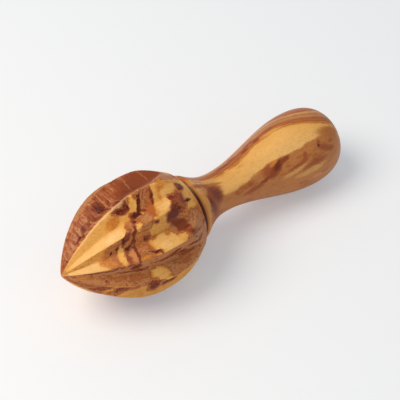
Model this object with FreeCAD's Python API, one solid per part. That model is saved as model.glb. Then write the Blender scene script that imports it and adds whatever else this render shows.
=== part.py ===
import FreeCAD, Part
import math
import os
from FreeCAD import Vector

# Wooden citrus reamer in two turned pieces, in millimetres. The fluted head has a blind bore,
# and the pear-shaped handle is glued into it by its round tenon.
#
# Both pieces are drawn in the tool's own line: X is the distance from the tip, Y the radius.
# The finished tool is then laid down as it rests on a table: on two ridges of the head and
# on the swell of the handle, one flute straight below, one ridge straight above.
# A fullness is the length of a curve's tangent over its chord.

# head
head_length = 66.0            # tip to seam
tip_dome_radius = 2.0
tip_half_angle = 59.0         # between the nose and the axis, in degrees
nose_tip_fullness = 0.21
nose_belly_fullness = 0.40
belly_from_tip = 40.8
belly_radius = 26.45
shoulder_belly_fullness = 0.44
shoulder_rim_fullness = 0.48
rim_from_seam = 2.9
rim_radius = 19.5
rim_angle = 31.5              # fall of the shoulder as it reaches the rim, in degrees
rim_lip = 0.9                 # how far the shoulder's line runs on before the groove

# flutes
flute_count = 11
flute_half_angle = 63.7       # between a flute's flank and its middle plane, in degrees
ridge_land = 0.5              # width left uncut along each ridge
flute_exit_angle = 6.0        # rise of a flute's floor by the time it reaches the seam

# seam between the pieces
seam_radius = 14.9            # bottom of the groove between rim and collar

# handle
handle_length = 89.0          # seam to butt
collar_from_seam = 3.4
collar_radius = 15.2
collar_angle = 33.0           # fall of the collar towards the neck, in degrees
collar_lip = 1.6              # how far the collar's line runs on before the groove
cove_collar_fullness = 0.42
cove_neck_fullness = 0.38
neck_from_seam = 20.0
neck_radius = 9.45
swell_neck_fullness = 0.335
swell_grip_fullness = 0.335
grip_from_butt = 19.6
grip_radius = 17.9
butt_grip_fullness = 0.47
butt_end_fullness = 0.52

# glued joint
tenon_radius = 7.0
tenon_length = 22.0
tenon_chamfer = 1.0
glue_gap = 0.05               # radial, between tenon and bore
bore_end_gap = 1.0            # space for spare glue past the end of the tenon

quarter_round = 0.39          # fullness at both ends that gives a quarter of a circle
handle_spans = 4              # shorter curves that each sweep of the handle is drawn in
mesh_step = 0.02              # how closely the side view's points follow the surface
contact_steps = 6             # rounds of finding where the table touches

half_pitch = math.pi / flute_count
axis_point = Vector(0, 0, 0)
axis_line = Vector(1, 0, 0)


def heading(degrees):
    angle = math.radians(degrees)
    return Vector(math.cos(angle), math.sin(angle), 0)


def bezier(poles):
    curve = Part.BezierCurve()
    curve.setPoles(poles)
    return curve.toShape()


def sweep(start, start_angle, start_fullness, end, end_angle, end_fullness):
    chord = start.distanceToPoint(end)
    leaving = start + heading(start_angle) * (chord * start_fullness)
    arriving = end - heading(end_angle) * (chord * end_fullness)
    return bezier([start, leaving, arriving, end])


def in_spans(edge, count):
    """The same curve as shorter ones, which keeps the turned faces light."""
    first, last = edge.ParameterRange
    step = (last - first) / count
    spans = []
    for index in range(count):
        curve = edge.Curve.copy()
        curve.segment(first + step * index, first + step * (index + 1))
        spans.append(curve.toShape())
    return spans


def chain(points):
    return [Part.makeLine(a, b) for a, b in zip(points, points[1:])]


def turned(edges):
    return Part.Face(Part.Wire(edges)).revolve(axis_point, axis_line, 360)


def nose_curve():
    angle = math.radians(tip_half_angle)
    dome_end = Vector(
        tip_dome_radius * (1 - math.sin(angle)),
        tip_dome_radius * math.cos(angle),
        0,
    )
    belly = Vector(belly_from_tip, belly_radius, 0)
    return sweep(dome_end, tip_half_angle, nose_tip_fullness, belly, 0, nose_belly_fullness)


def tip_dome():
    half_angle = math.radians(90 - tip_half_angle) / 2
    middle = Vector(
        tip_dome_radius * (1 - math.cos(half_angle)),
        tip_dome_radius * math.sin(half_angle),
        0,
    )
    return Part.Arc(axis_point, middle, nose_curve().Vertexes[0].Point).toShape()


def head_outline():
    belly = Vector(belly_from_tip, belly_radius, 0)
    rim = Vector(head_length - rim_from_seam, rim_radius, 0)
    seam = Vector(head_length, seam_radius, 0)
    shoulder = sweep(
        belly, 0, shoulder_belly_fullness, rim, -rim_angle, shoulder_rim_fullness
    )
    lip = chain([rim, rim + heading(-rim_angle) * rim_lip, seam])
    return [tip_dome(), nose_curve(), shoulder] + lip


def handle_outline():
    seam = Vector(head_length, seam_radius, 0)
    collar = Vector(head_length + collar_from_seam, collar_radius, 0)
    neck = Vector(head_length + neck_from_seam, neck_radius, 0)
    grip = Vector(head_length + handle_length - grip_from_butt, grip_radius, 0)
    butt = Vector(head_length + handle_length, 0, 0)
    outline = chain([seam, collar - heading(-collar_angle) * collar_lip, collar])
    for curve in (
        sweep(collar, -collar_angle, cove_collar_fullness, neck, 0, cove_neck_fullness),
        sweep(neck, 0, swell_neck_fullness, grip, 0, swell_grip_fullness),
        sweep(grip, 0, butt_grip_fullness, butt, -90, butt_end_fullness),
    ):
        outline += in_spans(curve, handle_spans)
    return outline


def flute_floor(point):
    """Radius of a flute's floor where the ridges beside it have the point's radius."""
    half_angle = math.radians(flute_half_angle)
    flank = half_angle - half_pitch
    ridge_share = math.sin(flank) / math.sin(half_angle)
    land_share = math.cos(flank) / math.sin(half_angle)
    return Vector(point.x, point.y * ridge_share + ridge_land / 2 * land_share, 0)


def flute_cutter():
    """V-shaped body that cuts the flute above the axis: two slanted copies of one side view."""
    nose_floor = [flute_floor(pole) for pole in nose_curve().Curve.getPoles()]
    belly = nose_floor[-1]
    before_tip = nose_floor[0] - axis_line * belly_radius
    past_seam = belly + heading(flute_exit_angle / 2) * (head_length - belly_from_tip)
    width = belly_radius * math.tan(half_pitch)
    slant = width / math.tan(math.radians(flute_half_angle))
    lift = Vector(0, belly_radius + slant, 0)
    floor = [
        Part.makeLine(before_tip, nose_floor[0]),
        bezier(nose_floor),
        sweep(belly, 0, quarter_round, past_seam, flute_exit_angle, quarter_round),
    ]
    outside = chain([past_seam, past_seam + lift, before_tip + lift, before_tip])
    side_view = Part.Face(Part.Wire(floor + outside))
    sides = []
    for hand in (-1, 1):
        flank = Vector(0, slant, hand * width)
        sides.append(side_view.translated(-flank).extrude(flank * 2))
    return sides[0].common(sides[1])


def reamer_head():
    bore_radius = tenon_radius + glue_gap
    bore_end = head_length - tenon_length - bore_end_gap
    core = chain([
        Vector(head_length, seam_radius, 0),
        Vector(head_length, bore_radius, 0),
        Vector(bore_end, bore_radius, 0),
        Vector(bore_end, 0, 0),
        axis_point,
    ])
    blank = turned(head_outline() + core)
    cutter = flute_cutter()
    cutters = []
    for index in range(flute_count):
        angle = math.degrees(2 * half_pitch) * index - 90
        cutters.append(cutter.rotated(axis_point, axis_line, angle))
    return blank.cut(cutters)


def handle():
    tenon_end = head_length - tenon_length
    core = chain([
        Vector(head_length + handle_length, 0, 0),
        Vector(tenon_end, 0, 0),
        Vector(tenon_end, tenon_radius - tenon_chamfer, 0),
        Vector(tenon_end + tenon_chamfer, tenon_radius, 0),
        Vector(head_length, tenon_radius, 0),
        Vector(head_length, seam_radius, 0),
    ])
    return turned(handle_outline() + core)


def side_view(piece):
    """Points of the piece's surface seen from the side, Y being the depth below the axis."""
    points, _ = piece.tessellate(mesh_step)
    return [Vector(point.x, -point.z, 0) for point in points]


def resting_line(head, grip):
    """Direction of the table in the side view, and the point where the head touches it."""
    line = axis_line
    for _ in range(contact_steps):
        down = Vector(-line.y, line.x, 0)
        head_contact = max(head, key=down.dot)
        grip_contact = max(grip, key=down.dot)
        line = (grip_contact - head_contact).normalize()
    return line, head_contact


def laid_down(head, grip):
    """Both pieces as they rest, with the origin on the table below the tool's middle."""
    head_view = side_view(head)
    grip_view = side_view(grip)
    line, contact = resting_line(head_view, grip_view)
    down = Vector(-line.y, line.x, 0)
    along = [line.dot(point) for point in head_view + grip_view]
    middle = (min(along) + max(along)) / 2
    slope = math.degrees(math.atan2(-line.y, line.x))
    shift = Vector(-middle, 0, down.dot(contact))
    return [
        piece.rotated(axis_point, Vector(0, 1, 0), slope).translated(shift)
        for piece in (head, grip)
    ]


os.makedirs("parts", exist_ok=True)
for name, piece in zip(("reamer_head", "handle"), laid_down(reamer_head(), handle())):
    print(name, "solids", len(piece.Solids), "closed", piece.isClosed())
    piece.exportStep("parts/" + name + ".step")
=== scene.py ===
import math

import bpy
from mathutils import Matrix, Vector, noise


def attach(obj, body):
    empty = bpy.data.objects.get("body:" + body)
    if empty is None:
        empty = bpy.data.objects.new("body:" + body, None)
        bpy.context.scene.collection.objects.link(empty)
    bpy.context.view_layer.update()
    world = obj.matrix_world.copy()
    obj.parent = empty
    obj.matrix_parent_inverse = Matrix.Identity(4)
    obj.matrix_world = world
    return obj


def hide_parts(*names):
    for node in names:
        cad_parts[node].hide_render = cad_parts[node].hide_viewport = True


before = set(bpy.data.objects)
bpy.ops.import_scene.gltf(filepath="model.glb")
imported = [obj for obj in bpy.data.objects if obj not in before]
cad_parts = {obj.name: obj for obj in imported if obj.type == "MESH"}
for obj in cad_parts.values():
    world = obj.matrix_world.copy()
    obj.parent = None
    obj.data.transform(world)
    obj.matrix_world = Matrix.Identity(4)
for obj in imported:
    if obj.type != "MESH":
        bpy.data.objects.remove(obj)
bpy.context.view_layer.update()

mm = 0.001

# How the reamer lies: its axis falls from the tip to the butt. Lengths in mm, angles in degrees.
lying = {"slope": 4.697, "tipFromMiddle": 77.30, "tipHeight": 29.09}
tipPlace = Vector((-lying["tipFromMiddle"], 0, lying["tipHeight"])) * mm
layDown = (
    Matrix.Translation(tipPlace)
    @ Matrix.Rotation(math.radians(lying["slope"]), 4, "Y")
    @ Matrix.Scale(mm, 4)
)
print("frame loaded, nodes:", sorted(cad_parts))


def deselectAll():
    if bpy.context.object and bpy.context.object.mode != "OBJECT":
        bpy.ops.object.mode_set(mode="OBJECT")
    bpy.ops.object.select_all(action="DESELECT")


def linear(hexColour):
    channels = [int(hexColour[i:i + 2], 16) / 255 for i in (1, 3, 5)]
    return [c / 12.92 if c <= 0.04045 else ((c + 0.055) / 1.055) ** 2.4 for c in channels] + [1]


def heading(degrees):
    return Vector((math.cos(math.radians(degrees)), math.sin(math.radians(degrees))))


def sweep(start, startAngle, startFullness, end, endAngle, endFullness, steps):
    # points of one smooth curve after its start, x along the tool and y its radius
    chord = (end - start).length
    poles = (
        start,
        start + heading(startAngle) * chord * startFullness,
        end - heading(endAngle) * chord * endFullness,
        end,
    )
    points = []
    for step in range(1, steps + 1):
        s = step / steps
        weights = ((1 - s) ** 3, 3 * s * (1 - s) ** 2, 3 * s * s * (1 - s), s ** 3)
        points.append(sum((pole * w for pole, w in zip(poles, weights)), Vector((0, 0))))
    return points


def lipPoints(start, corner, end, steps):
    # a rounded lip: two straight flanks whose corner is eased by a parabola
    points = []
    for step in range(1, steps + 1):
        s = step / steps
        points.append(start * (1 - s) ** 2 + corner * 2 * s * (1 - s) + end * s * s)
    return points


turning = {"weld": 0.0005, "near": 0.01, "boreMargin": 0.1}  # mm, the same for both pieces


def spun(name, outline, columns):
    # draws one vertex out along the outline and turns that line round the axis, as on a lathe
    deselectAll()
    bpy.ops.mesh.primitive_plane_add(size=1, location=(0, 0, 0))
    piece = bpy.context.object
    piece.name = name
    bpy.ops.object.mode_set(mode="EDIT")
    bpy.ops.mesh.merge(type="CENTER")
    bpy.ops.transform.translate(value=(outline[0].x, 0, outline[0].y))
    for before, after in zip(outline, outline[1:]):
        step = after - before
        bpy.ops.mesh.extrude_region_move(TRANSFORM_OT_translate={"value": (step.x, 0, step.y)})
    bpy.ops.mesh.select_all(action="SELECT")
    bpy.ops.mesh.spin(
        steps=columns, angle=math.tau, center=(0, 0, 0), axis=(1, 0, 0), use_auto_merge=True
    )
    bpy.ops.mesh.select_all(action="SELECT")
    bpy.ops.mesh.remove_doubles(threshold=turning["weld"])
    bpy.ops.mesh.normals_make_consistent(inside=False)
    bpy.ops.mesh.faces_shade_smooth()
    bpy.ops.object.mode_set(mode="OBJECT")
    return piece


# Head: turned, then fluted by hand. A fullness is the length of a curve's tangent over its chord.
# A ridge shift is how many degrees one ridge, counted from the top towards the viewer, stands
# beside its even place. Shifts and unevenness grow from nothing over the even tip.
head = {
    "length": 66.0, "tipRadius": 2.0, "tipAngle": 59.0, "tipFullness": 0.21,
    "bellyFullness": 0.40, "belly": (40.8, 26.45), "behindBelly": 0.44,
    "rim": (63.1, 19.5), "rimFullness": 0.48, "rimAngle": 31.5, "rimLip": 0.9,
    "seamRadius": 14.9, "boreRadius": 7.05, "boreEnd": 43.0,
    "flutes": 11, "fluteHalfAngle": 63.7, "land": 0.5, "exitAngle": 6.0,
    "ridgeEase": 0.09, "valleyEase": 0.012,
    "unevenness": 0.10, "unevenScale": 0.16, "evenTip": 8.0,
    "ridgeShift": {-4: 1.5, -2: 3.0, -1: -4.0, 4: -1.2},
    "domeSteps": 8, "noseSteps": 90, "shoulderSteps": 50, "lipSteps": 8, "columnsPerFlute": 40,
}


def headOutline(shape):
    tip = math.radians(shape["tipAngle"])
    domeEnd = Vector((1 - math.sin(tip), math.cos(tip))) * shape["tipRadius"]
    belly, rim = Vector(shape["belly"]), Vector(shape["rim"])
    seam = Vector((shape["length"], shape["seamRadius"]))
    lip = rim + heading(-shape["rimAngle"]) * shape["rimLip"]
    outline = [Vector((0, 0))]
    for step in range(1, shape["domeSteps"]):
        turn = (math.pi / 2 - tip) * step / shape["domeSteps"]
        outline.append(Vector((1 - math.cos(turn), math.sin(turn))) * shape["tipRadius"])
    outline.append(domeEnd)
    outline += sweep(domeEnd, shape["tipAngle"], shape["tipFullness"], belly, 0,
                     shape["bellyFullness"], shape["noseSteps"])
    outline += sweep(belly, 0, shape["behindBelly"], rim, -shape["rimAngle"],
                     shape["rimFullness"], shape["shoulderSteps"])
    outline += lipPoints(rim, lip, seam, shape["lipSteps"])
    outline += [
        Vector((shape["length"], shape["boreRadius"])),
        Vector((shape["boreEnd"], shape["boreRadius"])),
        Vector((shape["boreEnd"], 0)),
    ]
    return outline


def fluteFloor(shape, along, envelope):
    # radius of the flute's valley line where the ridges would have the envelope's radius
    half = math.radians(shape["fluteHalfAngle"])
    flank = half - math.pi / shape["flutes"]
    scale = math.sin(flank) / math.sin(half)
    landRise = shape["land"] / 2 * math.cos(flank) / math.sin(half)
    bellyAlong, bellyRadius = shape["belly"]
    if along <= bellyAlong:
        return envelope * scale + landRise
    run = shape["length"] - bellyAlong
    rise = (along - bellyAlong) ** 2 * math.tan(math.radians(shape["exitAngle"])) / (2 * run)
    return bellyRadius * scale + landRise + rise


def cutFlutes(piece, shape):
    pitch = math.tau / shape["flutes"]
    half = math.radians(shape["fluteHalfAngle"])
    ease = shape["ridgeEase"]
    for vertex in piece.data.vertices:
        along, y, z = vertex.co
        radius = math.hypot(y, z)
        inBore = (
            radius < shape["boreRadius"] + turning["boreMargin"]
            and along > shape["boreEnd"] - turning["boreMargin"]
        )
        onBack = along > shape["length"] - turning["near"]
        if radius < turning["near"] or inBore or onBack:
            continue
        turn = math.atan2(-y, z)  # ridge at 0, straight up; towards the viewer's side positive
        fromValley = (turn / pitch) % 1 * pitch - pitch / 2
        sine = math.sqrt(math.sin(fromValley) ** 2 + shape["valleyEase"] ** 2)
        floor = fluteFloor(shape, along, radius)
        flank = floor / (math.cos(fromValley) - sine / math.tan(half))
        cut = min(flank, radius) - ease * math.log1p(math.exp(-abs(flank - radius) / ease))
        share = min(1, along / shape["evenTip"])
        bump = (noise.noise(vertex.co * shape["unevenScale"]) - 0.5) * shape["unevenness"]
        cut = min(cut + bump * share, radius)

        # ridges that stand a little beside their even places, as hand-cut ones do
        ridge = math.floor(turn / pitch)
        between = turn / pitch - ridge
        shift = shape["ridgeShift"].get(ridge, 0) * (1 - between)
        shift += shape["ridgeShift"].get(ridge + 1, 0) * between
        turn += math.radians(shift) * share
        vertex.co.y = -math.sin(turn) * cut
        vertex.co.z = math.cos(turn) * cut


headPiece = spun("reamerHeadWood", headOutline(head), head["flutes"] * head["columnsPerFlute"])
cutFlutes(headPiece, head)
headPiece.data.transform(layDown)
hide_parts("reamer_head")
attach(headPiece, "root")
print("head turned and fluted:", len(headPiece.data.polygons), "faces")


# Handle: turned in one sweep from collar to butt, with the tenon that is glued into the head.
grip = {
    "seam": (66.0, 14.9), "collar": (69.4, 15.2), "collarAngle": 33.0, "collarLip": 1.6,
    "collarFullness": 0.42, "neck": (86.0, 9.45), "neckFullness": 0.38,
    "swellNeck": 0.335, "swellGrip": 0.335, "widest": (135.4, 17.9),
    "buttGrip": 0.47, "butt": 155.0, "buttEnd": 0.52,
    "tenonRadius": 7.0, "tenonEnd": 44.0, "tenonChamfer": 1.0,
    "lipSteps": 10, "coveSteps": 34, "swellSteps": 60, "buttSteps": 40, "columns": 144,
}


def gripOutline(shape):
    seam, collar = Vector(shape["seam"]), Vector(shape["collar"])
    neck, widest = Vector(shape["neck"]), Vector(shape["widest"])
    butt = Vector((shape["butt"], 0))
    corner = collar - heading(-shape["collarAngle"]) * shape["collarLip"]
    outline = [
        Vector((shape["tenonEnd"], 0)),
        Vector((shape["tenonEnd"], shape["tenonRadius"] - shape["tenonChamfer"])),
        Vector((shape["tenonEnd"] + shape["tenonChamfer"], shape["tenonRadius"])),
        Vector((seam.x, shape["tenonRadius"])),
        seam,
    ]
    outline += lipPoints(seam, corner, collar, shape["lipSteps"])
    outline += sweep(collar, -shape["collarAngle"], shape["collarFullness"], neck, 0,
                     shape["neckFullness"], shape["coveSteps"])
    outline += sweep(neck, 0, shape["swellNeck"], widest, 0, shape["swellGrip"],
                     shape["swellSteps"])
    outline += sweep(widest, 0, shape["buttGrip"], butt, -90, shape["buttEnd"],
                     shape["buttSteps"])
    return outline


gripPiece = spun("handleWood", gripOutline(grip), grip["columns"])
gripPiece.data.transform(layDown)
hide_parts("handle")
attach(gripPiece, "root")
print("handle turned:", len(gripPiece.data.polygons), "faces")


# Olive wood, from pale honey sapwood through amber to nearly black heart and burl.
tones = {
    "paleHoney": "#F3C284", "honey": "#EBB46A", "yellow": "#E6A855", "ochre": "#D89545",
    "amber": "#CC7B2A", "orange": "#C35E16", "tan": "#D39A55", "pinkTan": "#CC8653",
    "sand": "#BE8253", "heartwood": "#BB773E", "brown": "#B36B30", "redBrown": "#A1532A",
    "deepRed": "#8E421E", "dark": "#6C2D13", "darkest": "#4A1907", "purple": "#7B3B28",
}


def addNode(tree, kind, settings, *inputs):
    # inputs go in their places, or by name among the settings; None leaves a place as it is
    node = tree.nodes.new("ShaderNode" + kind)
    for key, value in [*settings.items(), *enumerate(inputs)]:
        if isinstance(key, str) and key not in node.inputs:
            setattr(node, key, value)
        elif isinstance(value, bpy.types.NodeSocket):
            tree.links.new(value, node.inputs[key])
        elif value is not None:
            node.inputs[key].default_value = value
    return node.outputs[0]


rising = {"interpolation_type": "SMOOTHSTEP"}  # eases from 0 to 1 between two limits
falling = {**rising, "To Min": 1.0, "To Max": 0.0}
allRound = ((-400, 400), (1, 1))  # the turns of a stretch that goes round the whole piece


def noisy(tree, place, texture):
    # a texture is its grains per mm along, across and up the tool, its detail and roughness
    grains, detail, roughness = texture
    scaled = addNode(tree, "VectorMath", {"operation": "MULTIPLY"}, place, grains)
    return addNode(tree, "TexNoise", {
        "Vector": scaled, "Scale": 1.0, "Detail": detail, "Roughness": roughness,
    })


def swing(tree, source, amount):
    # the noise's own value as a swing about 0, by up to about a fifth of the amount either way
    centred = addNode(tree, "Math", {"operation": "SUBTRACT"}, source, 0.5)
    return addNode(tree, "Math", {"operation": "MULTIPLY"}, centred, amount)


def shifted(tree, vector, source, amount):
    # moves a place by up to half the amount either way, the same way for a whole grain
    centred = addNode(tree, "VectorMath", {"operation": "SUBTRACT"},
                      source.node.outputs["Color"], (0.5, 0.5, 0.5))
    return addNode(tree, "VectorMath", {"operation": "MULTIPLY_ADD"},
                   centred, (amount, amount, amount), vector)


def roughened(tree, vector, sources, figure):
    # moves a place by each of the figure's noises in turn, from the coarsest to the finest
    for name in ("coarse", "fine", "finest"):
        vector = shifted(tree, vector, sources[name], figure["shifts"][name])
    return vector


def within(tree, value, start, end, startSoft, endSoft):
    # 1 from start to end and 0 outside, easing over its soft width to either side of a limit
    begun = addNode(tree, "MapRange", {
        **rising, "From Min": start - startSoft, "From Max": start + startSoft,
    }, value)
    unended = addNode(tree, "MapRange", {
        **falling, "From Min": end - endSoft, "From Max": end + endSoft,
    }, value)
    return addNode(tree, "Math", {"operation": "MULTIPLY"}, begun, unended)


def stretchMask(tree, along, degrees, area):
    # where a stretch of flute or flank lies: crisp where it ends at a ridge, soft elsewhere
    (alongFrom, alongTo, alongSoft), (turnFrom, turnTo), (fromSoft, toSoft) = area
    lengthwise = within(tree, along, alongFrom, alongTo, alongSoft, alongSoft)
    crosswise = within(tree, degrees, turnFrom, turnTo, fromSoft, toSoft)
    return addNode(tree, "Math", {"operation": "MULTIPLY"}, lengthwise, crosswise)


def patchMask(tree, net, ragged, unrollRadius, spot):
    # where one patch of figure lies: an ellipse on the unrolled surface with a ragged edge
    along, turn, length, width, tilt, soft = spot
    middle = Vector((along, math.radians(turn) * unrollRadius))
    edge = ragged
    for size, direction in ((length, heading(tilt)), (width, heading(tilt + 90))):
        scaled = direction / (size / 2)
        dot = (scaled.x, scaled.y, -scaled.dot(middle))
        reach = addNode(tree, "VectorMath", {"operation": "DOT_PRODUCT"}, net, dot)
        reach = reach.node.outputs["Value"]
        edge = addNode(tree, "Math", {"operation": "MULTIPLY_ADD"}, reach, reach, edge)
    return addNode(tree, "MapRange", {
        **falling, "From Min": (1 - soft) ** 2, "From Max": (1 + soft) ** 2,
    }, edge)


def toneRamp(tree, value, stops):
    # the stops are places on the value's own scale, each with a tone
    low, high = stops[0][0], stops[-1][0]
    spread = addNode(tree, "MapRange", {"From Min": low, "From Max": high}, value)
    colour = addNode(tree, "ValToRGB", {}, spread)
    elements = colour.node.color_ramp.elements
    elements[0].position, elements[0].color = 0, linear(tones[stops[0][1]])
    elements[1].position, elements[1].color = 1, linear(tones[stops[-1][1]])
    for place, tone in stops[1:-1]:
        element = elements.new((place - low) / (high - low))
        element.color = linear(tones[tone])
    return colour


def toolSpace(tree, unrollRadius):
    # places in mm: along from the tip, side towards the viewer and up; flat is the surface
    # unrolled at the unroll radius, 0 at the top
    onPiece = addNode(tree, "TexCoord", {}).node.outputs["Object"]
    place = addNode(tree, "Mapping", {
        "vector_type": "TEXTURE", "Vector": onPiece, "Location": tipPlace,
        "Rotation": (0, math.radians(lying["slope"]), 0), "Scale": (mm, mm, mm),
    })
    along, away, up = addNode(tree, "SeparateXYZ", {}, place).node.outputs
    side = addNode(tree, "Math", {"operation": "MULTIPLY"}, away, -1.0)
    turn = addNode(tree, "Math", {"operation": "ARCTAN2"}, side, up)
    arc = addNode(tree, "Math", {"operation": "MULTIPLY"}, turn, unrollRadius)
    return {
        "place": place,
        "along": along,
        "flat": addNode(tree, "CombineXYZ", {}, along, arc),
        "degrees": addNode(tree, "Math", {"operation": "MULTIPLY"}, turn, math.degrees(1)),
    }


def surfaceNet(tree, flat):
    # the unrolled place with 1 as its third part, so that one dot product moves, turns and
    # scales it, and its first part by itself
    along, arc, _ = addNode(tree, "SeparateXYZ", {}, flat).node.outputs
    return addNode(tree, "CombineXYZ", {}, along, arc, 1.0), along


def ringed(tree, colour, space, rings):
    # a ring is a tone, its strength and the stretch where it runs
    for tone, strength, *area in rings:
        mask = stretchMask(tree, space["along"], space["degrees"], area)
        mask = addNode(tree, "Math", {"operation": "MULTIPLY"}, mask, strength)
        colour = addNode(tree, "MixRGB", {}, mask, colour, linear(tones[tone]))
    return colour


# Grains per mm along, across and up the tool, detail and roughness of what oiled olive wood has
# all over. A pore is drawn about 0.3 mm wide, several times its real width, or it wouldn't show.
woodGrain = {
    "fibre": ((0.16, 1.7, 1.7), 5, 0.65), "pore": ((0.55, 3.2, 3.2), 2, 0.5),
    "cloud": ((0.12, 0.24, 0.24), 3, 0.6), "poreEdge": (0.64, 0.71), "poreSink": 0.5,
}


def finishWood(tree, colour, place, finish):
    # fibres and pores run along the tool, and oil leaves a satin gloss that the fibres break up
    fibre = noisy(tree, place, woodGrain["fibre"])
    cloud = noisy(tree, place, woodGrain["cloud"])
    poreLow, poreHigh = woodGrain["poreEdge"]
    pores = addNode(tree, "MapRange", {
        **rising, "From Min": poreLow, "From Max": poreHigh,
    }, noisy(tree, place, woodGrain["pore"]))
    plain = 1 - (finish["fibre"] + finish["cloud"]) / 2
    shade = addNode(tree, "Math", {"operation": "MULTIPLY"}, cloud, finish["cloud"])
    shade = addNode(tree, "Math", {"operation": "MULTIPLY_ADD"}, fibre, finish["fibre"], shade)
    shade = addNode(tree, "Math", {"operation": "ADD"}, shade, plain)
    tinted = addNode(tree, "VectorMath", {"operation": "SCALE", "Scale": shade}, colour)
    filled = addNode(tree, "Math", {"operation": "MULTIPLY"}, pores, finish["pores"])
    tinted = addNode(tree, "MixRGB", {}, filled, tinted, linear(tones["dark"]))
    smoothest = finish["roughness"] - finish["roughnessSpread"] / 2
    roughness = addNode(tree, "Math", {"operation": "MULTIPLY_ADD"},
                        fibre, finish["roughnessSpread"], smoothest)
    sunk = addNode(tree, "Math", {"operation": "MULTIPLY"}, pores, woodGrain["poreSink"])
    height = addNode(tree, "Math", {"operation": "SUBTRACT"}, fibre, sunk)
    bump = addNode(tree, "Bump", {
        "Height": height, "Strength": finish["bump"], "Distance": finish["bumpDepth"] * mm,
    })
    shader = tree.nodes["Principled BSDF"]
    tree.links.new(tinted, shader.inputs["Base Color"])
    tree.links.new(roughness, shader.inputs["Roughness"])
    tree.links.new(bump, shader.inputs["Normal"])
    shader.inputs["IOR"].default_value = finish["ior"]
    shader.inputs["Specular IOR Level"].default_value = finish["gloss"]


def newMaterial(name):
    material = bpy.data.materials.new(name)
    material.use_nodes = True
    return material


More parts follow.
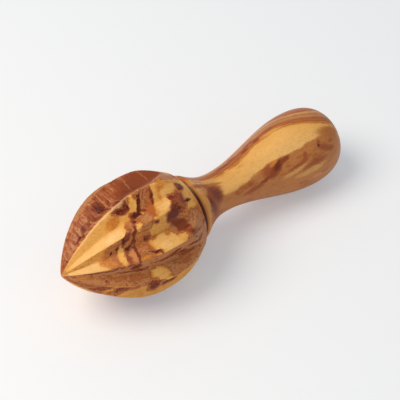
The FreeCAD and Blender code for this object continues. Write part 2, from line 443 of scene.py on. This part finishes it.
# Olive burl, turned, cut and oiled: dark figure swirling through honey wood, satin sheen. Its
# depth is 0 in pale sapwood and 1 in black heart; noise on it breaks every edge into islands.
# A zone is depth, (along from, to, soft), (turn from, to), (soft, soft), and a ring is a tone and
# its strength in place of the depth. A mark is depth, along, turn, length, width, tilt, soft, and
# so is a tint, with a tone and strength. Lengths in mm, turns in degrees from the top ridge.
headFigure = {
    "unroll": 20.0,
    "swirl": ((0.045, 0.055, 0.055), 3, 0.55), "coarse": ((0.16, 0.16, 0.16), 2, 0.5),
    "fine": ((0.45, 0.45, 0.45), 3, 0.6), "finest": ((1.2, 1.5, 1.5), 3, 0.6),
    "grain": ((0.22, 0.6, 0.6), 4, 0.65), "scratch": ((0.9, 0.10, 0.10), 3, 0.6),
    "shifts": {"coarse": 2.4, "fine": 1.8, "finest": 1.0},
    "fold": 17.0, "foldAcross": (0.34, 0.55, 0.76), "foldWarp": 26.0, "foldDepth": 0.9,
    "mottle": 0.6, "ragged": 1.1, "fleck": 0.4, "scratches": 1.1, "scratchShare": 0.75,
    "scratched": ((-5, 42, 8), (-62, 0.0), (14, 0.5)),
    "lineEvery": 2.4, "lineAcross": (0.94, -0.18, 0.29), "lineWarp": 11.0, "lineWaver": 2.2,
    "lineWidth": 0.36, "lineGrain": (0.42, 0.62), "lines": 0.22,
    "layers": [
        (0.0, "paleHoney"), (0.13, "honey"), (0.26, "yellow"), (0.36, "ochre"), (0.44, "amber"),
        (0.50, "brown"), (0.57, "redBrown"), (0.63, "brown"), (0.70, "sand"), (0.78, "redBrown"),
        (0.87, "deepRed"), (0.95, "dark"), (1.05, "darkest"),
    ],
    "zones": [
        (0.77, (-5, 70, 3), (-80, 0.0), (8, 0.5)),
        (0.30, (-5, 36, 2), (0.0, 33), (0.5, 1.0)),
        (0.26, (34, 62, 2), (0.0, 40), (0.5, 3)),
        (0.13, (3, 25, 2), (18, 34), (2.5, 1.0)),
        (0.38, (1, 16, 1), (34, 47), (1.0, 1)),
        (0.14, (1, 13, 1), (47, 65.5), (1.5, 0.5)),
        (0.48, (14, 34, 1), (36, 65.5), (2, 0.5)),
        (0.32, (33, 45, 1.5), (33, 48), (1, 2)),
        (0.20, (33, 47, 1.5), (48, 65.5), (3, 0.5)),
        (0.69, (1, 64, 1), (65.5, 98), (0.5, 0.5)),
        (0.61, (1, 13, 1), (98, 135), (0.5, 4)),
        (0.33, (13, 28, 2), (98, 135), (0.5, 4)),
        (0.30, (28, 60, 2), (98, 135), (0.5, 4)),
        # pale strips beside the top ridge and along the ridge below the viewer's flute: their
        # worn land, with a painted highlight on each ridge
        (0.34, (3, 44, 6), (-1.5, -0.1), (0.5, 0.3)),
        (0.38, (14, 55, 6), (97.2, 98.6), (0.4, 0.4)),
    ],
    "marks": [
        # left of the top ridge
        (0.96, 11.5, -17, 2.2, 3.4, 20, 0.5), (0.95, 15.2, -21, 2.2, 3.8, 20, 0.5),
        (0.93, 18.3, -20, 1.6, 4.2, 24, 0.5), (0.92, 13.3, -11, 1.4, 3.0, 24, 0.5),
        (0.50, 6.5, -11, 4.0, 2.0, 0, 0.5), (0.44, 8.4, -14, 2.4, 1.4, 0, 0.5),
        (0.92, 4.0, -5, 2.0, 1.2, 0, 0.5), (0.97, 25, -23, 4.2, 6.0, -20, 0.35),
        (0.88, 25.5, -11, 4.0, 3.6, 0, 0.4), (0.93, 31, -4.5, 6.5, 2.6, -10, 0.4),
        (0.90, 28.7, -15, 1.3, 5.0, 20, 0.5), (0.70, 30, -60, 44, 3.0, 2, 0.4),
        (0.66, 57, -9, 9, 4.0, -12, 0.4), (0.36, 60, -20, 4, 7, 10, 0.4),
        # flute right of the top ridge
        (0.76, 29.5, 2.2, 8.0, 2.8, 4, 0.5), (0.95, 28.6, 6.4, 6.6, 2.4, 14, 0.35),
        (0.93, 31.6, 5.2, 2.0, 3.8, 0, 0.4), (0.44, 23.5, 11.5, 6.0, 4.2, -10, 0.5),
        (0.03, 19.3, 26, 4.6, 2.6, 0, 0.4), (0.06, 22.8, 26.5, 2.6, 2.4, 0, 0.4),
        (0.60, 37.5, 2.0, 3.0, 2.2, 0, 0.5), (0.76, 41.2, 9.5, 12.0, 5.0, -60, 0.35),
        (0.64, 40.8, 9.5, 6.0, 1.5, -60, 0.5), (0.96, 43.9, 11.0, 5.6, 1.5, -68, 0.4),
        (1.02, 36.8, 10.5, 7.8, 1.4, -51, 0.35), (0.54, 39.5, 22, 6.6, 5.0, -50, 0.4),
        (0.30, 42.0, 26, 3.4, 1.5, -40, 0.5), (0.95, 32.4, 20.5, 2.8, 4.6, -30, 0.4),
        (0.90, 37.4, 17.0, 2.0, 3.0, -50, 0.5), (0.56, 38.0, 27, 3.6, 2.2, -50, 0.5),
        (1.08, 34.0, 18.6, 2.8, 2.8, 0, 0.35), (0.52, 31.3, 25, 6.5, 1.9, -20, 0.5),
        (0.50, 28.8, 24, 3.6, 4.0, 0, 0.5), (0.56, 26.6, 26, 2.2, 2.8, 0, 0.5),
        (0.92, 30.8, 22.5, 2.2, 3.0, 30, 0.5),
        (0.26, 29.3, 31.5, 3.2, 3.4, -60, 0.4), (0.69, 34.8, 30.5, 6.4, 4.2, -50, 0.45),
        (0.92, 37.8, 36, 2.6, 1.0, 0, 0.5), (0.42, 50, 6.5, 9.0, 4.6, -60, 0.5),
        (0.20, 50.5, 14.5, 6.0, 4.0, -50, 0.5), (0.12, 46.5, 24.5, 8.0, 2.4, -8, 0.4),
        (0.95, 58.2, 12, 4.4, 4.4, -40, 0.35), (0.93, 51.6, 18.5, 3.4, 3.0, -40, 0.4),
        (0.86, 54.3, 23, 4.6, 4.2, -40, 0.4), (0.96, 49.5, 31, 7.0, 3.6, -50, 0.35),
        (0.32, 59, 27, 8.0, 5.4, -35, 0.3), (0.40, 57, 2, 12, 2.4, -8, 0.4),
        # flute that faces the viewer
        (0.43, 6.0, 45, 3.0, 2.2, 0, 0.5), (0.98, 16.8, 47, 5.0, 2.0, -8, 0.4),
        (1.08, 17.9, 46, 2.8, 2.8, 0, 0.4), (0.98, 20.4, 42.0, 8.4, 2.2, -36, 0.4),
        (0.97, 23.9, 36.0, 7.0, 2.0, -42, 0.4), (0.46, 14.5, 53, 4.4, 6.5, 0, 0.5),
        (0.52, 15.2, 50, 2.4, 2.4, 0, 0.5), (0.90, 26.0, 43.5, 2.6, 2.2, 0, 0.5),
        (0.90, 32.0, 46, 3.4, 2.8, -30, 0.4), (0.50, 35.0, 49, 3.4, 1.8, 0, 0.5),
        (0.62, 29.0, 55, 5.0, 3.6, 20, 0.5), (0.12, 38.5, 60, 4.6, 2.8, 10, 0.4),
        (0.43, 42.0, 50, 2.4, 2.8, 0, 0.5), (0.98, 45.4, 38, 4.4, 3.8, -30, 0.35),
        (0.97, 48.0, 35, 5.0, 3.8, -20, 0.35), (0.45, 46.4, 56.5, 4.0, 2.4, 10, 0.5),
        (0.28, 47.2, 61.5, 4.4, 2.2, 6, 0.5), (0.84, 52.5, 33, 7.0, 4.6, -20, 0.4),
        (1.00, 57.0, 30, 6.0, 1.1, 0, 0.4), (0.43, 53.4, 42.5, 8.0, 2.2, 12, 0.45),
        (0.69, 57.0, 54, 7.0, 8.0, -10, 0.5), (0.90, 33.0, 61, 6.0, 1.2, 16, 0.5),
        # flute below it
        (0.92, 14, 68, 18, 1.2, -2, 0.4), (0.44, 6.5, 84, 4.4, 2.4, 0, 0.5),
        (0.92, 14, 86, 1.5, 4.4, 30, 0.5), (0.94, 24, 72.5, 4.0, 2.8, 0, 0.4),
        (0.86, 38, 76, 12, 2.0, 4, 0.5), (0.24, 34, 90.5, 8.0, 4.8, 24, 0.6),
        (0.14, 35, 98, 6.0, 1.6, 6, 0.4), (0.97, 43, 73, 3.6, 2.0, 0, 0.4),
        (0.97, 54, 74, 8.0, 1.4, -6, 0.4), (0.90, 47, 80, 5.0, 1.5, 0, 0.5),
        (0.54, 20, 88, 16, 2.4, 6, 0.6), (0.54, 46, 88, 8.0, 2.4, 6, 0.6),
        (0.84, 24, 80, 14, 1.6, 10, 0.6), (0.82, 49, 84, 10, 1.4, -4, 0.6),
        # underside
        (0.82, 15.5, 113, 3.0, 18, 58, 0.4), (0.84, 23.5, 112, 3.2, 18, 58, 0.4),
        (0.97, 35.5, 116, 9.0, 4.0, -20, 0.4), (0.92, 42, 121, 8.0, 2.0, 0, 0.4),
        (0.88, 30, 98.5, 9, 1.4, 0, 0.4), (0.90, 41, 104, 5, 3, -30, 0.4),
        (0.82, 30.0, 108, 2.6, 12, 60, 0.4),
    ],
    "calm": [
        (0.88, 45.5, -19, 25, 10.5, -7, 0.22), (0.92, 40, -13, 9, 4.4, -8, 0.5),
        (0.90, 48.0, 49, 8.6, 5.2, -14, 0.3), (0.52, 18.0, 52, 1.6, 8.0, 6, 0.5),
        (0.26, 20.3, 53.5, 2.4, 9.0, 8, 0.4), (0.87, 22.3, 55.5, 1.5, 8.0, 12, 0.5),
        (0.46, 24.2, 57, 1.6, 6.5, 14, 0.5), (0.93, 25.8, 57, 1.4, 8.0, 16, 0.5),
        (1.02, 24.3, 48.5, 3.2, 2.4, 20, 0.4), (0.94, 27.8, 33, 8.0, 1.5, -58, 0.5),
    ],
    "rings": [
        ("redBrown", 0.5, (-2, 1.6, 0.6), *allRound),
        # The rings round the groove behind the rim are painted shade. The dark one all round is
        # partly the oil and dirt in the groove and partly painted shade. The darkest one is
        # painted shade on the viewer's side and underneath, away from the lamp.
        ("dark", 0.5, (64.3, 70, 0.3), *allRound),
        ("darkest", 0.8, (64.3, 70, 0.3), (10, 180), (22, 30)),
    ],
    "tints": [
        ("purple", 0.5, 54.3, 23, 6.0, 5.0, -40, 0.4),
        ("purple", 0.4, 46.5, 37, 7.0, 5.0, -30, 0.4),
        ("purple", 0.5, 24.3, 35, 3.0, 2.0, -42, 0.4),
        ("orange", 0.3, 40.2, 22.5, 5.6, 4.2, -50, 0.6),
        ("pinkTan", 0.4, 28.6, 24, 2.2, 2.6, 0, 0.6),
        ("orange", 0.3, 42.0, 13, 8.0, 2.2, -60, 0.7),
        ("pinkTan", 0.5, 24.2, 57, 1.7, 6.0, 14, 0.4),
        ("sand", 0.45, 41.7, -27, 0.7, 7.0, 4, 0.6),
        ("sand", 0.4, 50.6, -27, 0.6, 6.0, 0, 0.6),
        ("pinkTan", 0.6, 45.0, 50, 2.4, 3.6, -20, 0.5),
        # a pale line on the top ridge: its worn land, with a painted highlight on it
        ("paleHoney", 0.55, 18.0, 0.5, 28, 1.1, 0, 0.5),
    ],
    "finish": {
        "fibre": 0.44, "cloud": 0.28, "pores": 0.5, "roughness": 0.42, "roughnessSpread": 0.14,
        "bump": 0.5, "bumpDepth": 0.06, "ior": 1.45, "gloss": 0.22,
    },
}


def headMaterial(figure):
    material = newMaterial("oiledOliveBurl")
    tree = material.node_tree
    space = toolSpace(tree, figure["unroll"])
    place = space["place"]
    noises = {
        name: noisy(tree, place, figure[name])
        for name in ("swirl", "coarse", "fine", "finest", "grain", "scratch")
    }
    ragged = swing(tree, noises["finest"], figure["ragged"])

    # growth layers folded over each other as in a burl, then the figure of this piece of wood
    layered = shifted(tree, place, noises["swirl"], figure["foldWarp"])
    slanted = addNode(tree, "VectorMath", {"operation": "DOT_PRODUCT"},
                      layered, figure["foldAcross"]).node.outputs["Value"]
    folded = addNode(tree, "Math", {"operation": "PINGPONG"}, slanted, figure["fold"])
    depth = addNode(tree, "Math", {"operation": "MULTIPLY"},
                    folded, figure["foldDepth"] / figure["fold"])
    net, along = surfaceNet(tree, roughened(tree, space["flat"], noises, figure))
    for level, *area in figure["zones"]:
        mask = stretchMask(tree, along, space["degrees"], area)
        depth = addNode(tree, "Mix", {}, mask, None, depth, level)
    for level, *spot in figure["marks"]:
        mask = patchMask(tree, net, ragged, figure["unroll"], spot)
        depth = addNode(tree, "Mix", {}, mask, None, depth, level)

    # mottling and flecks, stronger in darker wood, and pale scratches across the flutes left
    # of the top
    mottled = addNode(tree, "Math", {"operation": "ADD"},
                      swing(tree, noises["grain"], figure["mottle"]),
                      swing(tree, noises["finest"], figure["fleck"]))
    scratches = swing(tree, noises["scratch"], figure["scratches"])
    mask = stretchMask(tree, along, space["degrees"], figure["scratched"])
    mask = addNode(tree, "Math", {"operation": "MULTIPLY"}, mask, figure["scratchShare"])
    mottled = addNode(tree, "Mix", {}, mask, None, mottled, scratches)
    mottled = addNode(tree, "Math", {"operation": "ADD"}, mottled, 1.0)
    depth = addNode(tree, "Math", {"operation": "MULTIPLY"}, depth, mottled)

    # fine growth lines that wander across the flutes, only where the grain is strong
    lined = shifted(tree, place, noises["coarse"], figure["lineWarp"])
    lined = shifted(tree, lined, noises["fine"], figure["lineWaver"])
    crossed = addNode(tree, "VectorMath", {"operation": "DOT_PRODUCT"},
                      lined, figure["lineAcross"]).node.outputs["Value"]
    fromLine = addNode(tree, "Math", {"operation": "PINGPONG"}, crossed, figure["lineEvery"] / 2)
    line = addNode(tree, "MapRange", {
        **falling, "From Min": 0.0, "From Max": figure["lineWidth"],
    }, fromLine)
    grainLow, grainHigh = figure["lineGrain"]
    strong = addNode(tree, "MapRange", {
        **rising, "From Min": grainLow, "From Max": grainHigh,
    }, noises["grain"])
    line = addNode(tree, "Math", {"operation": "MULTIPLY"}, line, strong)
    line = addNode(tree, "Math", {"operation": "MULTIPLY_ADD"}, line, figure["lines"], 1.0)
    depth = addNode(tree, "Math", {"operation": "MULTIPLY"}, depth, line)

    for level, *spot in figure["calm"]:
        mask = patchMask(tree, net, ragged, figure["unroll"], spot)
        depth = addNode(tree, "Mix", {}, mask, None, depth, level)
    colour = toneRamp(tree, depth, figure["layers"])
    for tone, strength, *spot in figure["tints"]:
        mask = patchMask(tree, net, ragged, figure["unroll"], spot)
        mask = addNode(tree, "Math", {"operation": "MULTIPLY"}, mask, strength)
        colour = addNode(tree, "MixRGB", {}, mask, colour, linear(tones[tone]))
    # the rings, with the painted shade in the groove behind the rim
    colour = ringed(tree, colour, space, figure["rings"])
    finishWood(tree, colour, place, figure["finish"])
    return material


# Straight-grained olive, turned and oiled: the growth layers run along the handle, a broad
# yellow band of sapwood between ragged dark streaks and golden brown heart. An edge of the band
# is a level to the side of the axis that dips and rises: along from, to, by how much, in mm.
# Marks and rings are as on the head, each with a tone for its depth.
handleFigure = {
    "unroll": 15.0,
    "coarse": ((0.06, 0.14, 0.14), 2, 0.5), "fine": ((0.25, 0.5, 0.5), 3, 0.6),
    "finest": ((0.7, 1.4, 1.4), 3, 0.65), "heartGrain": ((0.11, 0.26, 0.26), 4, 0.65),
    "shifts": {"coarse": 1.8, "fine": 1.6, "finest": 1.2}, "ragged": 0.9,
    "upperEdge": {"level": 0.3, "bends": [(92, 112, -3.0), (119, 150, 10.5)]},
    "lowerEdge": {"level": 7.8, "bends": [(108, 126, 3.1)]}, "lowerSoft": (-0.3, 0.5),
    "layers": [
        (-27, "ochre"), (-24, "brown"), (-21.5, "tan"), (-18.5, "ochre"), (-16, "redBrown"),
        (-14.5, "brown"), (-13.2, "redBrown"), (-12.0, "brown"), (-10.6, "redBrown"),
        (-9.4, "brown"), (-8.4, "tan"), (-7.6, "sand"), (-6.6, "brown"), (-5.4, "sand"),
        (-4.2, "brown"), (-3.4, "redBrown"), (-2.6, "brown"), (-1.7, "redBrown"),
        (-0.9, "amber"), (-0.3, "brown"), (0.2, "ochre"), (0.7, "yellow"), (12, "honey"),
    ],
    "heart": [
        (0.30, "redBrown"), (0.39, "brown"), (0.48, "heartwood"), (0.57, "heartwood"),
        (0.63, "brown"), (0.72, "redBrown"),
    ],
    # a painted highlight: the collar's lip painted pale ochre all round
    "rings": [("ochre", 0.75, (67.4, 71, 0.6), *allRound)],
    "marks": [
        # collar, its cove and the neck
        ("redBrown", 70, -22, 4.6, 5.0, 0, 0.4), ("orange", 69, -12, 4.0, 3.0, 0, 0.5),
        ("redBrown", 77.5, 36, 10, 13, 0, 0.5), ("purple", 77.8, 43, 6.0, 8.0, 0, 0.9),
        ("redBrown", 75, 68, 6.0, 18, -8, 0.6), ("purple", 74.4, 60, 3.0, 9.0, -10, 0.9),
        ("brown", 80, 16, 8.0, 1.8, 14, 0.6), ("redBrown", 72.5, 13, 9.0, 2.4, 6, 0.5),
        ("dark", 73.8, 50, 1.4, 3.0, 0, 0.6), ("ochre", 70.8, 44, 2.4, 7.0, 0, 0.6),
        ("pinkTan", 72.8, 24, 2.4, 3.4, 0, 0.7), ("pinkTan", 74, -3, 4.0, 2.4, 0, 0.5),
        ("tan", 80, 4, 9.0, 3.4, 6, 0.5), ("brown", 71, 84, 3.0, 5.0, 0, 0.5),
        # ragged reddish streak above the yellow band
        ("deepRed", 91.5, -24, 8.0, 2.4, 6, 0.5), ("redBrown", 87, -14, 5.0, 1.8, 10, 0.5),
        ("deepRed", 97.5, -27, 4.0, 1.6, 6, 0.5), ("deepRed", 105, -20, 4.6, 2.2, -4, 0.45),
        ("deepRed", 109.5, -29, 6.0, 1.0, 0, 0.5), ("deepRed", 113, -21, 3.6, 2.2, 0, 0.45),
        ("redBrown", 119, -22, 8.0, 1.8, 4, 0.5), ("ochre", 120, -12, 9.0, 1.8, 10, 0.6),
        # streak below the lower edge of the yellow band
        ("redBrown", 108.2, 50, 7.0, 5.4, -30, 0.5), ("deepRed", 111.6, 53, 10.0, 4.2, -38, 0.4),
        ("dark", 112.4, 49, 4.6, 2.4, -40, 0.5), ("deepRed", 104.5, 66, 8.0, 2.2, -26, 0.4),
        ("redBrown", 98.5, 77, 10.0, 2.6, -14, 0.6), ("deepRed", 116.2, 44, 5.0, 2.0, -14, 0.4),
        ("amber", 110.4, 42, 3.0, 1.4, -20, 0.9), ("darkest", 134.4, 48.0, 1.8, 1.6, 60, 0.4),
        ("redBrown", 135, 43, 2.0, 1.6, 0, 0.6), ("redBrown", 141, 60, 3.6, 2.0, 0, 0.6),
        ("brown", 144.5, 38, 14, 4.6, 10, 0.5), ("redBrown", 126, 53, 2.6, 2.0, -60, 0.7),
        ("pinkTan", 132, 95, 5.0, 1.4, 0, 0.6), ("sand", 139, 97, 12, 1.2, 2, 0.5),
        ("tan", 119, 72, 9.0, 1.4, -12, 0.9), ("tan", 128, 80, 12, 1.6, -6, 0.9),
        ("redBrown", 122, 63, 9.0, 1.4, -16, 0.9), ("redBrown", 131, 70, 10, 1.6, -6, 0.9),
        ("redBrown", 137, 55, 5.0, 2.0, 20, 0.9),
        # specks in the yellow
        ("ochre", 90.9, -2.5, 2.6, 1.2, 0, 0.5), ("ochre", 87.4, 5, 3, 1.0, 0, 0.5),
        ("ochre", 97.4, 8, 4, 1.2, 0, 0.6),
    ],
    # Painted shade in the groove behind the head. The brown band and the darkest strip, only on
    # the viewer's side and underneath, are painted shade. The dark strip all round is partly oil
    # and dirt and partly painted shade.
    "grooveShadeAndDirt": [
        ("brown", 0.75, (64, 68.4, 0.5), (0, 150), (20, 30)),
        ("dark", 0.5, (64, 67.0, 0.3), *allRound),
        ("darkest", 0.85, (64, 67.3, 0.3), (10, 180), (22, 30)),
    ],
    "finish": {
        "fibre": 0.42, "cloud": 0.26, "pores": 0.45, "roughness": 0.38, "roughnessSpread": 0.10,
        "bump": 0.3, "bumpDepth": 0.04, "ior": 1.45, "gloss": 0.3,
    },
}


def depthFrom(tree, side, along, edge):
    # how far a place lies to the viewer's side of an edge of the yellow band
    level = edge["level"]
    for start, end, amount in edge["bends"]:
        share = addNode(tree, "MapRange", {**rising, "From Min": start, "From Max": end}, along)
        level = addNode(tree, "Math", {"operation": "MULTIPLY_ADD"}, share, amount, level)
    return addNode(tree, "Math", {"operation": "SUBTRACT"}, side, level)


def handleMaterial(figure):
    material = newMaterial("oiledStraightOlive")
    tree = material.node_tree
    space = toolSpace(tree, figure["unroll"])
    place = space["place"]
    noises = {
        name: noisy(tree, place, figure[name])
        for name in ("coarse", "fine", "finest", "heartGrain")
    }
    ragged = swing(tree, noises["finest"], figure["ragged"])
    warped = roughened(tree, place, noises, figure)
    away = addNode(tree, "SeparateXYZ", {}, warped).node.outputs["Y"]
    side = addNode(tree, "Math", {"operation": "MULTIPLY"}, away, -1.0)

    # the layers bulge with the handle and end at the brown heart, which has its own figure
    upper = depthFrom(tree, side, space["along"], figure["upperEdge"])
    lower = depthFrom(tree, side, space["along"], figure["lowerEdge"])
    softLow, softHigh = figure["lowerSoft"]
    inHeart = addNode(tree, "MapRange", {
        **rising, "From Min": softLow, "From Max": softHigh,
    }, lower)
    colour = addNode(tree, "MixRGB", {}, inHeart,
                     toneRamp(tree, upper, figure["layers"]),
                     toneRamp(tree, noises["heartGrain"], figure["heart"]))

    net, _ = surfaceNet(tree, roughened(tree, space["flat"], noises, figure))
    # the painted highlight on the collar's lip
    colour = ringed(tree, colour, space, figure["rings"])
    for tone, *spot in figure["marks"]:
        mask = patchMask(tree, net, ragged, figure["unroll"], spot)
        colour = addNode(tree, "MixRGB", {}, mask, colour, linear(tones[tone]))
    # painted shade in the groove behind the head, over the oil and dirt in it
    colour = ringed(tree, colour, space, figure["grooveShadeAndDirt"])
    finishWood(tree, colour, place, figure["finish"])
    return material


for piece, material in (
    (headPiece, headMaterial(headFigure)),
    (gripPiece, handleMaterial(handleFigure)),
):
    piece.data.materials.clear()
    piece.data.materials.append(material)
    print(material.name, "has", len(material.node_tree.nodes), "nodes")


# A board under a soft sky and one broad lamp. The board is lifted a little where the camera sees
# it, so that the shadow stays as soft and neutral as in the photograph. Sizes in mm, power in W.
studio = {
    "floorColour": "#F9F5F0", "floorRoughness": 0.9, "floorSize": 6000,
    "liftColour": "#E8F3FF", "shadowLift": 0.28,
    "skyColour": "#F3F8FF", "skyStrength": 0.50, "keyColour": "#FFFBF5",
    "keySize": 700, "keyPower": 6.8, "keyFrom": (-500, 200, 800),
}
deselectAll()
bpy.ops.mesh.primitive_plane_add(size=studio["floorSize"] * mm, location=(0, 0, 0))
floor = bpy.context.object
floor.name = "studioFloor"
board = newMaterial("mattWhiteBoard")  # plain matt board: no gloss, keeps a soft shadow
boardShader = board.node_tree.nodes["Principled BSDF"]
boardShader.inputs["Base Color"].default_value = linear(studio["floorColour"])
boardShader.inputs["Roughness"].default_value = studio["floorRoughness"]
cameraRay = addNode(board.node_tree, "LightPath", {}).node.outputs["Is Camera Ray"]
liftShare = addNode(board.node_tree, "Math", {"operation": "MULTIPLY"},
                    cameraRay, studio["shadowLift"])
liftLight = addNode(board.node_tree, "Emission", {"Color": linear(studio["liftColour"])})
seen = addNode(board.node_tree, "MixShader", {}, liftShare, boardShader.outputs[0], liftLight)
board.node_tree.links.new(seen, board.node_tree.nodes["Material Output"].inputs[0])
floor.data.materials.append(board)

world = bpy.data.worlds.new("softStudio")
bpy.context.scene.world = world
world.use_nodes = True
world.node_tree.nodes["Background"].inputs["Color"].default_value = linear(studio["skyColour"])
world.node_tree.nodes["Background"].inputs["Strength"].default_value = studio["skyStrength"]

keyPlace = Vector(studio["keyFrom"]) * mm
bpy.ops.object.light_add(type="AREA", location=keyPlace)
keyLight = bpy.context.object
keyLight.data.shape = "DISK"
keyLight.data.size = studio["keySize"] * mm
keyLight.data.energy = studio["keyPower"]
keyLight.data.color = linear(studio["keyColour"])[:3]
keyLight.rotation_euler = (-keyPlace).to_track_quat("-Z", "Y").to_euler()

# The camera aims at a place on the axis, fitted to the photograph's outline. Distances in mm,
# angles in degrees, pixels in the photograph's 400 x 400 frame.
shot = {
    "elevation": 45.53, "turn": 40.80, "distance": 630, "fieldOfView": 16.0,
    "aimAlong": 77.5, "aimPixel": (202.54, 199.83), "framePixels": 400,
}
level = heading(shot["elevation"])  # how much of the view runs level, and how much down
ahead = heading(90 - shot["turn"])
forward = Vector((ahead.x * level.x, ahead.y * level.x, -level.y))
aim = layDown @ Vector((shot["aimAlong"], 0, 0))
bpy.ops.object.camera_add(location=aim - forward * shot["distance"] * mm)
camera = bpy.context.object
camera.rotation_euler = forward.to_track_quat("-Z", "Y").to_euler()
camera.data.angle = math.radians(shot["fieldOfView"])
camera.data.shift_x = (shot["framePixels"] / 2 - shot["aimPixel"][0]) / shot["framePixels"]
camera.data.shift_y = (shot["aimPixel"][1] - shot["framePixels"] / 2) / shot["framePixels"]
bpy.context.scene.camera = camera
bpy.context.scene.view_settings.view_transform = "Standard"
print("floor, light and camera placed")
